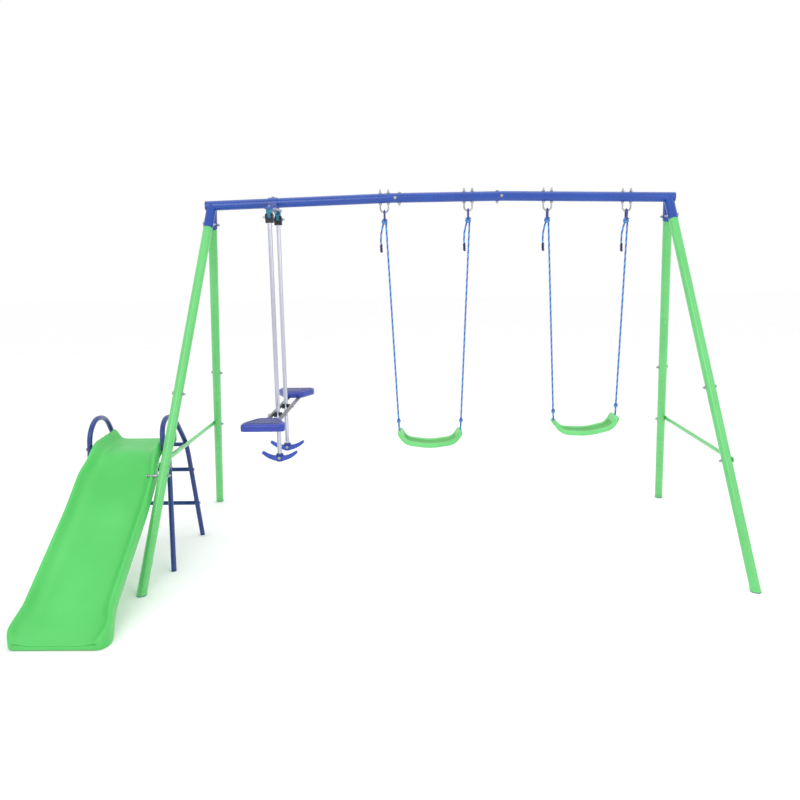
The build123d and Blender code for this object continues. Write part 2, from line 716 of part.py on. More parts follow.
with BuildPart() as glider_bar_bolts:
    reach = bar_half_gap + bar_radius
    for y in (-hang_y, hang_y):
        bolt((glider_x + reach, y, bar_height), (glider_x - reach, y, bar_height))
keep(glider_bar_bolts, "glider_bar_bolts")

with BuildPart() as glider_seat_screws:
    for y in (-screw_y, screw_y):
        for bar_x in (glider_x - bar_half_gap, glider_x + bar_half_gap):
            top = bar_height + glider_seat_height
            bar((bar_x, y, top - screw_depth), (bar_x, y, top), screw_shank)
            bar((bar_x, y, top), (bar_x, y, top + screw_head_height), screw_head_radius)
keep(glider_seat_screws, "glider_seat_screws")
print("hinges glider", (0, -hang_y, pivot_height), (0, hang_y, pivot_height), (0, -hang_y, bar_height))


# ---- slide -------------------------------------------------------------------------------
def bed_outline(rises, drop):
    """Side outline of a band that follows the running surface, in a builder on the YZ plane."""
    with BuildLine() as outline:
        top = FilletPolyline(*[(y, z + rise) for (y, z), rise in zip(bed_route, rises)], radius=bed_radii)
        bottom = FilletPolyline(*[(y, z - drop) for y, z in bed_route], radius=bed_radii)
        Line(top @ 0, bottom @ 0)
        Line(top @ 1, bottom @ 1)
    return outline


def rail_offset(height):
    """Distance of the ladder's rails from the slide's middle, splayed towards the ground."""
    return platform_half + rail_gap + rail_radius + rail_splay * (splay_height - height) / splay_height


front_y, front_z = bed_route[-1]
leg_pin = leg_at_height(-1, -1, slide_bolt_height)
rail_pin_y = rail_route[0][0]

with BuildPart() as slide_bed:
    floor_line = bed_outline([0] * len(bed_route), bed_thickness)
    with BuildSketch(Plane.YZ.offset(slide_x)) as floor:
        add(floor_line.line)
        make_face()
    extrude(floor.sketch, amount=bed_half - 1, both=True)
    wall_line = bed_outline(wall_rises, wall_drop)
    for side in (-1, 1):
        with BuildSketch(Plane.YZ.offset(slide_x + side * (bed_half - bed_wall / 2))) as wall:
            add(wall_line.line)
            make_face()
        extrude(wall.sketch, amount=bed_wall / 2, both=True)
        with BuildSketch() as ear:
            with Locations((slide_x + side * (bed_half - bed_wall), flare_y)):
                Ellipse(bed_wall + flare, flare_length / 2)
            with Locations((slide_x, flare_y)):
                Rectangle(2 * (bed_half - bed_wall), 2 * flare_length, mode=Mode.SUBTRACT)
        extrude(ear.sketch, amount=flare_height)
        with BuildSketch() as narrowing:
            near, far = slide_x + side * platform_half, slide_x + side * (bed_half + OVERCUT)
            with BuildLine():
                corner = (slide_x + side * bed_half, waist[1])
                Polyline((near, 0), (near, waist[0]), corner, (far, waist[1]), (far, 0), close=True)
            make_face()
        extrude(narrowing.sketch, amount=2 * bed_route[0][1], mode=Mode.SUBTRACT)
    with Locations((slide_x, front_y - lip_length, 0)):
        Box(2 * bed_half, foot_block, front_z, align=(Align.CENTER, Align.MIN, Align.MIN))
    leg_hole = (slide_x, leg_pin.Y, leg_pin.Z), (slide_x + 2 * bed_half, leg_pin.Y, leg_pin.Z)
    bar(*leg_hole, bolt_radius + FIT, Mode.SUBTRACT)
    for side in (-1, 1):
        ends = [slide_x + side * x for x in (platform_half - rail_bolt_depth - FIT, 2 * bed_half)]
        bar(*[(x, rail_pin_y, rail_bolt_height) for x in ends], bolt_radius + FIT, Mode.SUBTRACT)
keep(slide_bed, "slide_bed")


# ---- ladder ------------------------------------------------------------------------------
splay_slope = rail_splay / splay_height


def rail_seat(height, reach):
    """Distance from the slide's middle to a flat face of that radius laid on a rail's outside."""
    return rail_offset(height) + rail_radius + reach * splay_slope + FIT


def rail_point(side, y, z):
    return (slide_x + side * rail_offset(z), y, z)


def rear_rail_y(height):
    """Y of the rail's rear leg at a height, straight and then starting its bend forwards."""
    (_, bend_y, bend_z), (_, foot_rail_y, foot_rail_z) = [(0, *point) for point in rail_route[-2:]]
    run_up = Vector(0, bend_y - foot_rail_y, bend_z - foot_rail_z)
    run_on = Vector(0, rail_route[-3][0] - bend_y, rail_route[-3][1] - bend_z)
    bend_start = bend_z - rail_radii[-1] * tan(radians(run_up.get_angle(run_on)) / 2)
    past = max(height - bend_start, 0)
    straight_y = foot_rail_y + run_up.Y * (height - foot_rail_z) / run_up.Z
    return straight_y - past**2 / (2 * rail_radii[-1])


def front_leg_y(height):
    top_y, top_z = ladder_leg_top
    return ladder_leg_foot_y + (top_y - ladder_leg_foot_y) * height / top_z


def rail_lean(y_at):
    """Distance in Y from a leaning tube's axis to the square end of a platform bar against it."""
    high = y_at(platform_bar_height + platform_bar_radius)
    low = y_at(platform_bar_height - platform_bar_radius)
    return rail_radius * 1.06 + abs(high - low) / 2 + GAP


rung_levels = [*rung_heights, platform_bar_height]
for side, name in ((-1, "left"), (1, "right")):
    route = [rail_point(side, y, z) for y, z in rail_route]
    start_run = Vector(*route[1]) - Vector(*route[0])
    with BuildPart() as rail:
        with BuildLine() as line:
            FilletPolyline(*route, radius=rail_radii)
        with BuildSketch(Plane(origin=route[0], z_dir=start_run)) as section:
            Circle(rail_radius)
            Circle(rail_radius - rail_wall, mode=Mode.SUBTRACT)
        sweep(section.sketch, path=line.wires()[0])
        with Locations((route[-1][0], route[-1][1], foot_cap_height)):
            Box(4 * rail_radius, 4 * rail_radius, 2 * rail_radius, align=HANG, mode=Mode.SUBTRACT)
        pin_ends = [(x, rail_pin_y, rail_bolt_height) for x in (slide_x, slide_x + side * 2 * bed_half)]
        bar(*pin_ends, bolt_radius + FIT, Mode.SUBTRACT)
        for height in rung_levels:
            y = rear_rail_y(height)
            rung_hole = (slide_x, y, height), (slide_x + side * 2 * bed_half, y, height)
            bar(*rung_hole, rung_bolt_radius + FIT, Mode.SUBTRACT)
    keep(rail, f"ladder_rail_{name}")

with BuildPart() as ladder_legs:
    for side in (-1, 1):
        foot = rail_point(side, front_leg_y(-rail_radius), -rail_radius)
        top = rail_point(side, ladder_leg_top[0], ladder_leg_top[1])
        tube(foot, top, rail_radius, rail_wall)
    with Locations((slide_x, ladder_leg_foot_y, foot_cap_height)):
        Box(4 * bed_half, 8 * rail_radius, 4 * rail_radius, align=HANG, mode=Mode.SUBTRACT)
keep(ladder_legs, "ladder_legs")

with BuildPart() as ladder_rungs:
    for height in rung_levels:
        y = rear_rail_y(height)
        reach = rail_offset(height) - rail_radius - rung_radius * splay_slope - FIT
        bar((slide_x - reach, y, height), (slide_x + reach, y, height), rung_radius)
        hole_reach = reach + OVERCUT
        hole = (slide_x - hole_reach, y, height), (slide_x + hole_reach, y, height)
        bar(*hole, rung_bolt_radius + FIT, Mode.SUBTRACT)
keep(ladder_rungs, "ladder_rungs")

with BuildPart() as platform_bars:
    for side in (-1, 1):
        x = slide_x + side * rail_offset(platform_bar_height)
        front = front_leg_y(platform_bar_height) + rail_lean(front_leg_y)
        rear = rear_rail_y(platform_bar_height) - rail_lean(rear_rail_y) - bend_room
        bar((x, front, platform_bar_height), (x, rear, platform_bar_height), platform_bar_radius)
keep(platform_bars, "platform_bars")

with BuildPart() as slide_bolts:
    inside = slide_x + bed_half - bed_wall
    leg_seat = leg_radius * 1.01 + bolt_head_radius * (foot_x - apex_x) / beam_height + FIT
    bolt((inside, leg_pin.Y, leg_pin.Z), (leg_pin.X + leg_seat, leg_pin.Y, leg_pin.Z))
    spacer_ends = (slide_x + bed_half, leg_pin.Y, leg_pin.Z), (leg_pin.X - leg_seat, leg_pin.Y, leg_pin.Z)
    bar(*spacer_ends, bolt_head_radius)
    for side in (-1, 1):
        inside = slide_x + side * (platform_half - rail_bolt_depth)
        outside = slide_x + side * rail_seat(rail_bolt_height, bolt_head_radius)
        bolt((outside, rail_pin_y, rail_bolt_height), (inside, rail_pin_y, rail_bolt_height), nut=False)
        for height in rung_levels:
            y = rear_rail_y(height)
            outer = slide_x + side * rail_seat(height, bolt_head_radius)
            inner = outer - side * rung_bolt_length
            bolt((outer, y, height), (inner, y, height), radius=rung_bolt_radius, nut=False)
keep(slide_bolts, "slide_bolts")


# ---- end caps ----------------------------------------------------------------------------
with BuildPart() as tube_caps:
    foot_plugs = []
    for side, face in corners:
        foot = leg_at_height(side, face, foot_cap_height)
        foot_plugs.append((foot, -leg_run(side, face)[1], leg_radius, leg_bore))
    for side in (-1, 1):
        rail_foot = Vector(*rail_point(side, *rail_route[-1]))
        rail_above = Vector(*rail_point(side, *rail_route[-2]))
        rail_bore = rail_radius - rail_wall
        foot_plugs.append((rail_foot, (rail_above - rail_foot).normalized(), rail_radius, rail_bore))
        leg_foot = Vector(*rail_point(side, front_leg_y(foot_cap_height), foot_cap_height))
        leg_above = Vector(*rail_point(side, *ladder_leg_top))
        foot_plugs.append((leg_foot, (leg_above - leg_foot).normalized(), rail_radius, rail_bore))
    for foot, up, radius, _ in foot_plugs:
        bar(tuple(foot - up * 2 * foot_cap_sleeve), tuple(foot + up * foot_cap_sleeve), radius)
    with Locations((0, 0, foot_cap_height)):
        Box(4 * foot_x, 4 * foot_y, 2 * plug_length, align=BASE, mode=Mode.SUBTRACT)
    for foot, up, _, bore in foot_plugs:
        bar(tuple(foot - up), tuple(foot + up * plug_length), bore - FIT)
    Box(4 * foot_x, 4 * foot_y, 2 * plug_length, align=HANG, mode=Mode.SUBTRACT)
    for side in (-1, 1):
        end = Vector(side * beam_reach, 0, beam_axis(side * beam_reach))
        run = (end - Vector(side * apex_x, 0, beam_axis(side * apex_x))).normalized()
        bar(tuple(end), tuple(end + run * beam_cap_height), beam_radius)
        bar(tuple(end - run * beam_plug_length), tuple(end + run), beam_radius - beam_wall - FIT)
keep(tube_caps, "tube_caps")


# ---- origin and files --------------------------------------------------------------------
whole = Compound(parts).bounding_box()
shift = Vector(-whole.center().X, -whole.center().Y, -whole.min.Z)
print("shift", tuple(shift), "size", tuple(whole.size))
os.makedirs("parts", exist_ok=True)
for piece in parts:
    placed = piece.moved(Location(shift))
    placed.label = piece.label
    export_step(placed, f"parts/{piece.label}.step")
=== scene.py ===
"""Looks for the swing set: painted tube frame, twisted ropes, moulded seats, glider and slide.

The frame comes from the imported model, in metres. Sizes below are millimetres about the frame's
own middle, on the ground between the four feet, and at() turns them into the row frame.
"""

import json
from math import atan2, cos, pi, radians, sin, sqrt, tan

import bpy
from mathutils import Matrix, Vector


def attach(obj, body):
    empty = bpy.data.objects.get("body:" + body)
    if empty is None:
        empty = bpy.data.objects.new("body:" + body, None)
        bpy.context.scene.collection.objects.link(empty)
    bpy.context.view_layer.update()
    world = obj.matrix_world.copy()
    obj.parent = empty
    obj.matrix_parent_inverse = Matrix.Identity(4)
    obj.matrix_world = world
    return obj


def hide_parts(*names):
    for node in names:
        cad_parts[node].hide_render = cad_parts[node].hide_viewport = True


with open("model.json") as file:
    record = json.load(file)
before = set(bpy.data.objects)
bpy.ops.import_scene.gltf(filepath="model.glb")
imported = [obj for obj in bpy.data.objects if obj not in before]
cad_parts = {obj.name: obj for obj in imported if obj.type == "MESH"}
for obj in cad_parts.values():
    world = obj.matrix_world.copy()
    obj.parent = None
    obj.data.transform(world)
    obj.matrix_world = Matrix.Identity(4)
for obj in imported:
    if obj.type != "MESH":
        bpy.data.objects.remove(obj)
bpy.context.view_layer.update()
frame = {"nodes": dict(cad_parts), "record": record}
nodes = frame["nodes"]
record = frame["record"]
feet = [Vector(mount["pos_m"]) for mount in record["mounts"] if mount["name"].startswith("foot_")]
middle = sum(feet, Vector()) / len(feet)


def at(x, y, z):
    """A place in millimetres about the frame's middle, in the row frame in metres."""
    return middle + Vector((x, y, z)) / 1000


def smooth_step(value, low, high):
    """0 below low, 1 above high and a smooth rise between; low may be the larger."""
    share = min(max((value - low) / (high - low), 0), 1)
    return share * share * (3 - 2 * share)


# ---- materials ---------------------------------------------------------------------------
def linear(red, green, blue):
    """A screen colour, 0 to 255, as the linear colour that a shader takes."""
    return tuple((channel / 255) ** 2.2 for channel in (red, green, blue)) + (1,)


def shader(name, **values):
    """A material with its Principled node, whose plain values are set by socket name."""
    made = bpy.data.materials.new(name)
    made.use_nodes = True
    principled = made.node_tree.nodes["Principled BSDF"]
    for socket, value in values.items():
        principled.inputs[socket.replace("_", " ")].default_value = value
    return made, principled


def noise(tree, scale, detail=3, stretch=None):
    """A noise texture in object space, in features per metre."""
    place = tree.nodes.new("ShaderNodeTexCoord")
    texture = tree.nodes.new("ShaderNodeTexNoise")
    texture.inputs["Scale"].default_value = scale
    texture.inputs["Detail"].default_value = detail
    source = place.outputs["Object"]
    if stretch:
        mapping = tree.nodes.new("ShaderNodeMapping")
        mapping.inputs["Scale"].default_value = stretch
        tree.links.new(source, mapping.inputs["Vector"])
        source = mapping.outputs["Vector"]
    tree.links.new(source, texture.inputs["Vector"])
    return texture.outputs["Fac"]


def ramp(tree, source, low, high, start=0.35, end=0.65):
    """Colours a 0 to 1 value between two colours."""
    node = tree.nodes.new("ShaderNodeValToRGB")
    first, last = node.color_ramp.elements
    first.position, last.position = start, end
    first.color, last.color = low, high
    tree.links.new(source, node.inputs["Fac"])
    return node.outputs["Color"]


def spread(tree, source, low, high):
    """Maps the middle of a noise onto a range of numbers."""
    node = tree.nodes.new("ShaderNodeMapRange")
    for socket, value in (("From Min", 0.3), ("From Max", 0.7), ("To Min", low), ("To Max", high)):
        node.inputs[socket].default_value = value
    tree.links.new(source, node.inputs["Value"])
    return node.outputs["Result"]


def bump(tree, principled, source, strength, depth):
    node = tree.nodes.new("ShaderNodeBump")
    node.inputs["Strength"].default_value = strength
    node.inputs["Distance"].default_value = depth
    tree.links.new(source, node.inputs["Height"])
    tree.links.new(node.outputs["Normal"], principled.inputs["Normal"])


def coating(name, colour, shade, rough, grain, depth, patch=5, stretch=None, **values):
    """A finish with soft patches of a second shade, uneven gloss and a fine surface grain."""
    made, principled = shader(name, **values)
    tree = made.node_tree
    patches = noise(tree, patch, stretch=stretch)
    tree.links.new(ramp(tree, patches, linear(*shade), linear(*colour)), principled.inputs["Base Color"])
    gloss = spread(tree, noise(tree, patch * 4), rough[0], rough[1])
    tree.links.new(gloss, principled.inputs["Roughness"])
    bump(tree, principled, noise(tree, grain, 2, stretch), 0.35, depth)
    return made


blue_paint = coating("blue_paint", (10, 68, 158), (6, 60, 146), (0.2, 0.3), 420, 0.00025, Coat_Weight=0.3)
ladder_paint = coating("ladder_paint", (8, 54, 128), (6, 48, 116), (0.22, 0.34), 420, 0.00025,
                       Coat_Weight=0.3)
green_paint = coating("green_paint", (98, 196, 110), (92, 189, 104), (0.24, 0.34), 420, 0.00025,
                      Coat_Weight=0.45)
slide_plastic = coating("slide_plastic", (84, 196, 98), (74, 186, 88), (0.36, 0.48), 900, 0.0002, 3,
                        Subsurface_Weight=0.08, Subsurface_Scale=0.01)
seat_plastic = coating("seat_plastic", (112, 206, 122), (100, 194, 110), (0.36, 0.46), 900, 0.0002, 8,
                       Subsurface_Weight=0.08, Subsurface_Scale=0.01)
# painted shade: a darker copy of the seat plastic for the middle of the seat, standing in for the shade in
# its dip
seat_web_painted_shade = coating("seat_web_painted_shade", (88, 176, 86), (76, 162, 76), (0.4, 0.52), 500, 0.0004, 8)
glider_rim = coating("glider_rim", (42, 62, 160), (36, 56, 150), (0.3, 0.42), 900, 0.0002, 8,
                     Coat_Weight=0.15)
glider_top = coating("glider_top", (32, 44, 122), (28, 38, 112), (0.36, 0.5), 600, 0.0003, 8)
rest_plastic = coating("rest_plastic", (44, 76, 178), (38, 68, 166), (0.3, 0.42), 900, 0.0002, 8,
                       Coat_Weight=0.15)
boss_plastic = coating("boss_plastic", (34, 58, 146), (28, 50, 132), (0.34, 0.46), 900, 0.0002, 8)
teal_plastic = coating("teal_plastic", (0, 118, 148), (0, 104, 134), (0.3, 0.42), 900, 0.0002, 20)
black_plastic = coating("black_plastic", (26, 28, 34), (18, 20, 24), (0.38, 0.55), 900, 0.0002, 20)
cap_plastic = coating("cap_plastic", (24, 60, 120), (18, 48, 104), (0.4, 0.55), 900, 0.0002, 20)
zinc = coating("zinc", (176, 178, 184), (146, 148, 156), (0.3, 0.46), 700, 0.0002, 60, Metallic=1.0)
chrome = coating("chrome", (206, 206, 220), (186, 186, 204), (0.14, 0.26), 300, 0.0001, 12, (1, 1,
                 0.08), Metallic=1.0)
bar_steel = coating("bar_steel", (120, 120, 130), (92, 92, 104), (0.2, 0.36), 300, 0.0001, 20, (1,
                    0.08, 1), Metallic=1.0)
link_coat = coating("link_coat", (52, 46, 128), (42, 38, 112), (0.3, 0.45), 900, 0.0002, 40,
                    Coat_Weight=0.3)
sleeve = coating("sleeve", (30, 32, 92), (22, 22, 70), (0.4, 0.6), 900, 0.0003, 60)


def fibre(name, colour, shade):
    """Polypropylene yarn: glossy fine filaments."""
    return coating(name, colour, shade, (0.4, 0.6), 2500, 0.0006, 500, Sheen_Weight=0.3)


rope_light = fibre("rope_light", (96, 172, 232), (74, 146, 218))
rope_mid = fibre("rope_mid", (60, 130, 206), (46, 110, 190))
rope_dark = fibre("rope_dark", (38, 74, 160), (28, 58, 140))


def paint(material, *names):
    """Gives CAD nodes a finish; a name that ends with _ stands for every node that starts with it."""
    for name in names:
        for node in [n for n in nodes if n == name or (name.endswith("_") and n.startswith(name))]:
            for holder in nodes[node].material_slots:
                holder.material = material


paint(blue_paint, "beam_left", "beam_middle", "beam_right", "glider_crossbar", "glider_saddle")
paint(ladder_paint, "ladder_", "platform_bars")
paint(green_paint, "leg_upper_", "leg_lower_", "brace_")
paint(zinc, "beam_bolts", "leg_bolts", "swing_ubolts", "ubolt_nuts")
paint(zinc, "glider_clamp_bolts", "glider_pivot_bolts")
paint(zinc, "slide_bolts", "glider_footrest_bolt_", "glider_bar_bolts", "glider_seat_screws")
paint(cap_plastic, "tube_caps")
paint(teal_plastic, "glider_yokes")
paint(black_plastic, "glider_cap_", "glider_spacers")
paint(chrome, "glider_tube_")
paint(bar_steel, "glider_bars")
paint(link_coat, "swing_left_links", "swing_right_links")


# ---- mesh helpers ------------------------------------------------------------------------
def piece(name, body, corners, faces, materials, subdivide=0, shades=None):
    """A mesh piece that rides on a body; shades gives each face's material by number."""
    mesh = bpy.data.meshes.new(name)
    mesh.from_pydata(corners, [], faces)
    for material in materials:
        mesh.materials.append(material)
    mesh.polygons.foreach_set("use_smooth", [True] * len(faces))
    if shades:
        mesh.polygons.foreach_set("material_index", shades)
    made = bpy.data.objects.new(name, mesh)
    bpy.context.scene.collection.objects.link(made)
    if subdivide:
        rounding = made.modifiers.new("rounding", "SUBSURF")
        rounding.levels = rounding.render_levels = subdivide
    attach(made, body)
    return made


def rings_to_faces(ring_count, ring_size, first=0, closed=True):
    """Quads that join rings of the same number of points."""
    last = ring_size if closed else ring_size - 1
    faces = []
    for ring in range(ring_count - 1):
        low = first + ring * ring_size
        for k in range(last):
            nxt = (k + 1) % ring_size
            faces.append((low + k, low + nxt, low + ring_size + nxt, low + ring_size + k))
    return faces


def paired_ring(pairs):
    """A closed section ring from half-section pairs (upper, lower), listed from the middle outwards."""
    upper = [high for high, _ in pairs]
    lower = [low for _, low in pairs]
    left_upper = [(-u, v) for u, v in reversed(upper[1:])]
    right_lower = list(reversed(lower))
    left_lower = [(-u, v) for u, v in lower[1:]]
    return left_upper + upper + right_lower + left_lower


def end_faces(ring_size, first, flip):
    """Quads that close a paired ring: each upper point meets the lower point under it."""
    across = ring_size // 2
    faces = []
    for k in range(across - 1):
        quad = (first + k, first + k + 1, first + ring_size - 2 - k, first + ring_size - 1 - k)
        faces.append(quad if flip else quad[::-1])
    return faces


def rounded(route, radii, step):
    """Even points along straight runs joined by arcs, in a plane."""
    marks = [Vector(point) for point in route]
    dense = [marks[0]]
    for before, corner, after, radius in zip(marks, marks[1:], marks[2:], radii):
        arriving, leaving = (corner - before).normalized(), (after - corner).normalized()
        turn = arriving.angle(leaving)
        reach = radius * tan(turn / 2)
        start, end = corner - arriving * reach, corner + leaving * reach
        for k in range(9):
            share = k / 8
            inner = start.lerp(corner, share)
            dense.append(inner.lerp(corner.lerp(end, share), share))
    dense.append(marks[-1])
    return resampled(dense, step)


def resampled(line, step):
    """Points at even distances along a line, both ends kept."""
    lengths = [(b - a).length for a, b in zip(line, line[1:])]
    total = sum(lengths)
    count = max(round(total / step), 2)
    points, walked, k = [line[0].copy()], 0, 0
    for wanted in [total * n / count for n in range(1, count)]:
        while walked + lengths[k] < wanted:
            walked += lengths[k]
            k += 1
        points.append(line[k].lerp(line[k + 1], (wanted - walked) / lengths[k]))
    return points + [line[-1].copy()]


def directions(points):
    """Unit direction of a line at each of its points."""
    ends = [points[0], *points, points[-1]]
    return [(after - before).normalized() for before, after in zip(ends, ends[2:])]


# ---- slide bed ---------------------------------------------------------------------------
slide_x = -1531
bed_route = [(-80, 584), (-335, 574), (-625, 362), (-1150, 46), (-1215, 26)]
bed_radii = [110, 700, 200]
nose_start, bed_front = -1170, -1229
nose_slope = 20 / 65      # fall of the running surface near its end
bed_half, platform_half = 185, 166
ear_spread = 18           # how far the rounded ears at the end stand out
nose_pull = 36            # how far the corners draw in at the very front
# half section of the bed, upper and lower point of each pair: broad fillet up to a rolled rim
bed_section = [
    ((0, 0), (0, -20)), ((60, 0), (60, -20)), ((100, 0.5), (98, -20)), ((120, 4), (118, -20)),
    ((138, 12), (134, -20)), ((152, 25), (147, -21)), ((161, 36), (156, -25)), ((168, 43.5), (164, -26)),
    ((176, 45), (172, -25)), ((182.5, 38), (179, -21)), ((185, 24), (184, -10)),
]


def slide_station(place, along, corner=0):
    """One section of the bed at a place (y, z) of its surface; corner grows to 1 at the very front."""
    y, z = place
    narrower = (bed_half - platform_half) * smooth_step(y, -480, -370)
    foot = smooth_step(y, -1040, -1150)
    ear = smooth_step(y, -1060, -1165)
    platform = smooth_step(y, -390, -320)
    up = Vector((-along.y, along.x)) if along.x > 0 else Vector((along.y, -along.x))
    up = up.lerp(Vector((0, 1)), max(foot, platform)).normalized()
    ring = []
    for u, v in paired_ring(bed_section):
        outer = smooth_step(abs(u), 95, 160)
        reach = abs(u) + (ear_spread * ear - narrower - nose_pull * corner) * outer
        if v > 0:
            rise = v * (1 + 0.12 * platform - 0.8 * corner * outer)
            spot = Vector(place) + up * (rise - 1.5 * corner)
        else:
            spot = Vector(place) + up * v
            ground = 0.4 + 4 * corner
            spot.y += (ground - spot.y) * foot * (1 if v < 0 else 0)
        ring.append(at(slide_x + (reach if u > 0 else -reach), spot.x, max(spot.y, 0)))
    return ring


def slide():
    line = [spot for spot in rounded(bed_route, bed_radii, 24) if spot.x > nose_start]
    ways = directions(line)
    stations = [(line[0], ways[0], 0), (line[0].lerp(line[1], 0.25), ways[0], 0)]
    stations += [(place, along, 0) for place, along in zip(line[1:], ways[1:])]
    for degrees in (8, 22, 36, 50, 62, 73, 82, 90):
        y = nose_start + (bed_front - nose_start) * sin(radians(degrees))
        corner = 1 - cos(radians(degrees))
        stations.append((Vector((y, 26 + (y + 1215) * nose_slope - corner)), ways[-1], corner))
    corners = [spot for station in stations for spot in slide_station(*station)]
    size = len(paired_ring(bed_section))
    faces = rings_to_faces(len(stations), size)
    faces += end_faces(size, 0, True) + end_faces(size, size * (len(stations) - 1), False)
    bed = piece("slide_shell", "frame", corners, faces, [slide_plastic], 2)
    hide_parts("slide_bed")


slide()

# ---- swing seats -------------------------------------------------------------------------
swings = [
    ("left", -270, 147, -54, 594, 594),
    ("right", 540, 931, 748, 638, 664),
]
seat_half = 160
seat_rise = 73
seat_shoulder = (34, 18)   # a tip's bend: in from the tip and up from the seat's bottom
seat_radii = [70, 300, 70]
rim = 12.5                 # half the thickness of the rolled edge
# half section across the seat: thin web, thick rolled edges
seat_section = [
    ((0, 1), (0, -9)), ((24, 1), (24, -9)), ((42, 2), (42, -9.5)), ((49, 6), (50, -10.5)),
    ((55, 11), (56, -12.5)), ((62, 13), (63, -12.5)), ((68, 8.5), (68, -8)), ((70, 1.5), (70, -1.5)),
]


def seat_tips(swing):
    _, _, _, centre, left_tip, right_tip = swing
    tilt = (right_tip - left_tip) / 2
    half = seat_half * cos(tilt / seat_half)
    return Vector((centre - half, 0, left_tip)), Vector((centre + half, 0, right_tip))


def swing_seat(swing):
    name = swing[0]
    left, right = seat_tips(swing)
    across = (right - left).normalized()
    rise = Vector((-across.z, 0, across.x))
    half = (right - left).length / 2
    shoulder, bend = half - seat_shoulder[0], seat_shoulder[1] - seat_rise
    route = [(-half, 0), (-shoulder, bend), (0, -seat_rise), (shoulder, bend), (half, 0)]
    line = rounded(route, seat_radii, 13)
    ways = directions(line)
    line = [line[0], line[0].lerp(line[1], 0.35), *line[1:-1], line[-1].lerp(line[-2], 0.35), line[-1]]
    ways = [ways[0], ways[0], *ways[1:-1], ways[-1], ways[-1]]
    corners = []
    for k, (place, along) in enumerate(zip(line, ways)):
        end = min(k, len(line) - 1 - k)
        narrow = (0.8, 0.95)[end] if end < 2 else 1
        thick = (0.62, 0.93)[end] if end < 2 else 1
        fill = 1 - smooth_step(end, 2, 6)
        up = Vector((-along.y, along.x))
        for u, v in paired_ring(seat_section):
            v = v + (rim - v) * fill * 0.9 if v > -3 and abs(u) < 60 else v
            v = v - (rim + v) * fill if v < -3 and abs(u) < 60 else v
            spot = place + up * (v * thick)
            on_line = (left + right) / 2 + across * spot.x + rise * spot.y
            corners.append(at(*(on_line + Vector((0, u * narrow, 0)))))
    size = len(paired_ring(seat_section))
    faces = rings_to_faces(len(line), size)
    shades = []
    for k in range(len(faces)):
        station, spot = divmod(k, size)
        # faces in the middle of the seat take the darker copy of the plastic, painted shade for the dip
        in_web_painted_shade = 4 <= spot <= 9 and 4 <= station <= len(line) - 6
        shades.append(1 if in_web_painted_shade else 0)
    faces += end_faces(size, 0, True) + end_faces(size, size * (len(line) - 1), False)
    shades += [0] * (len(faces) - len(shades))
    seat = piece(f"seat_{name}", f"swing_{name}", corners, faces, [seat_plastic, seat_web_painted_shade], 2, shades)
    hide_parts(f"swing_{name}_seat")


# ---- ropes -------------------------------------------------------------------------------
rope_radius = 5
strand_radius = 2.65
lay_length = 34


def spline_line(route):
    """The smooth line of a rope whose control points are the route, in metres."""
    curve = bpy.data.curves.new("route", "CURVE")
    curve.dimensions = "3D"
    curve.resolution_u = 24
    spline = curve.splines.new("NURBS")
    spline.points.add(len(route) - 1)
    for control, place in zip(spline.points, route):
        control.co = (*place, 1)
    spline.order_u = 3
    spline.use_endpoint_u = True
    holder = bpy.data.objects.new("route", curve)
    mesh = bpy.data.meshes.new_from_object(holder)
    line = [corner.co.copy() for corner in mesh.vertices]
    bpy.data.objects.remove(holder)
    bpy.data.curves.remove(curve)
    bpy.data.meshes.remove(mesh)
    return line


def tube_rings(line, radius, sides, offset=0, turns_per_metre=0, phase=0, closed_ends=True):
    """Corners and faces of a round strand that winds round a line, in metres."""
    ways = directions(line)
    side = ways[0].orthogonal().normalized()
    corners, walked = [], 0
    for k, (place, way) in enumerate(zip(line, ways)):
        walked += (place - line[k - 1]).length if k else 0
        side = (side - way * side.dot(way)).normalized()
        other = way.cross(side)
        turn = 2 * pi * (walked * turns_per_metre + phase)
        centre = place + (side * cos(turn) + other * sin(turn)) * offset
        taper = 0.55 if closed_ends and k in (0, len(line) - 1) else 1
        for j in range(sides):
            spoke = 2 * pi * j / sides
            corners.append(centre + (side * cos(spoke) + other * sin(spoke)) * radius * taper)
    faces = rings_to_faces(len(line), sides)
    last = len(corners) - sides
    faces += [tuple(range(sides - 1, -1, -1)), tuple(range(last, last + sides))]
    return corners, faces


def twisted(name, body, lines, sides=7):
    """Three strands laid up along each line, as one piece with a shade for each strand."""
    corners, faces, shades = [], [], []
    for line in lines:
        for strand in range(3):
            offset = (rope_radius - strand_radius) / 1000
            more, quads = tube_rings(line, strand_radius / 1000, sides, offset,
                                     1000 / lay_length, strand / 3)
            faces += [tuple(k + len(corners) for k in quad) for quad in quads]
            shades += [strand] * len(quads)
            corners += more
    return piece(name, body, corners, faces, [rope_light, rope_mid, rope_dark], 0, shades)


beam_height = 1777
droop = tan(radians(1.4))
joints_at = (-229, 325)
ubolt_drop = 69
link_length = 52
rope_lead = 19
knot_height = 32
rope_offset = 7
tail_steps = [(0, 0), (-9, -32), (-14, -66), (-13, -98)]
seat_hole = 13.7
seat_knot_rise = 50
whip_length = 45


def knot_centre(x):
    past = max(joints_at[0] - x, x - joints_at[1], 0)
    wire = beam_height - past * droop - ubolt_drop
    return Vector((x, 0, wire + 8.8 - link_length + rope_lead - knot_height / 2))


def helix(centre, axis, start_side, radius, rise, turns, begin=0):
    """A line that winds round an axis, in millimetres; radius may be a pair for an oval."""
    axis = axis.normalized()
    side = (start_side - axis * start_side.dot(axis)).normalized()
    other = axis.cross(side)
    wide, deep = radius if isinstance(radius, tuple) else (radius, radius)
    count = int(turns * 28)
    points = []
    for k in range(count + 1):
        turn = begin + 2 * pi * turns * k / count
        lift = axis * (rise * (k / count - 0.5))
        points.append(centre + lift + side * cos(turn) * wide + other * sin(turn) * deep)
    return points


